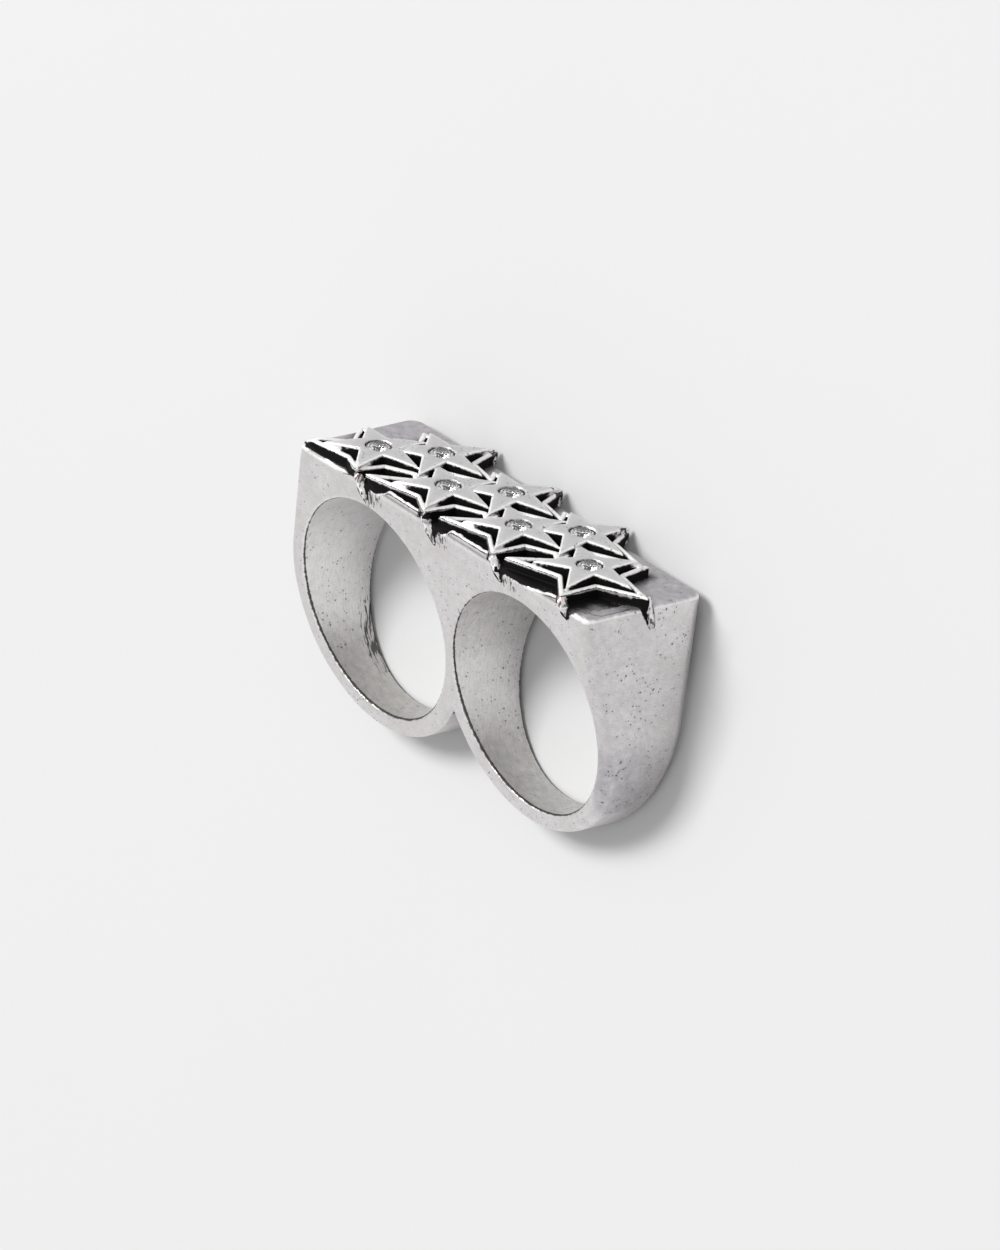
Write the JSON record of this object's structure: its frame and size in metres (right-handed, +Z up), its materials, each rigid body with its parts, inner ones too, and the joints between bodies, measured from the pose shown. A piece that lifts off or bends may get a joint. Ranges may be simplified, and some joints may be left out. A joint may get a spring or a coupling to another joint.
{
  "type": "double ring",
  "caption": "Double ring worn on neighbouring fingers: joined bands under one flat bar, with raised stars that each hold a small cut stone, inside a low pointed rim.",
  "frame": {"origin": "middle of the ring's own box, on the surface that it lies on", "axes": "+X along the bar from the left finger to the right one, +Y from the bottoms of the bands towards the stars, +Z up, out of the front faces of the bands"},
  "size_m": [0.0426, 0.0254, 0.0134],
  "materials": {
    "antique_silver": "satin silver plate, darkened in its grooves and worn bright on its edges",
    "clear_stone": "polished clear stone, cut with a flat table and facets all round"
  },
  "bodies": {
    "root": {"ring_body": "antique_silver", "stone_1": "clear_stone", "stone_2": "clear_stone", "stone_3": "clear_stone", "stone_4": "clear_stone", "stone_5": "clear_stone", "stone_6": "clear_stone", "stone_7": "clear_stone"}
  },
  "joints": []
}
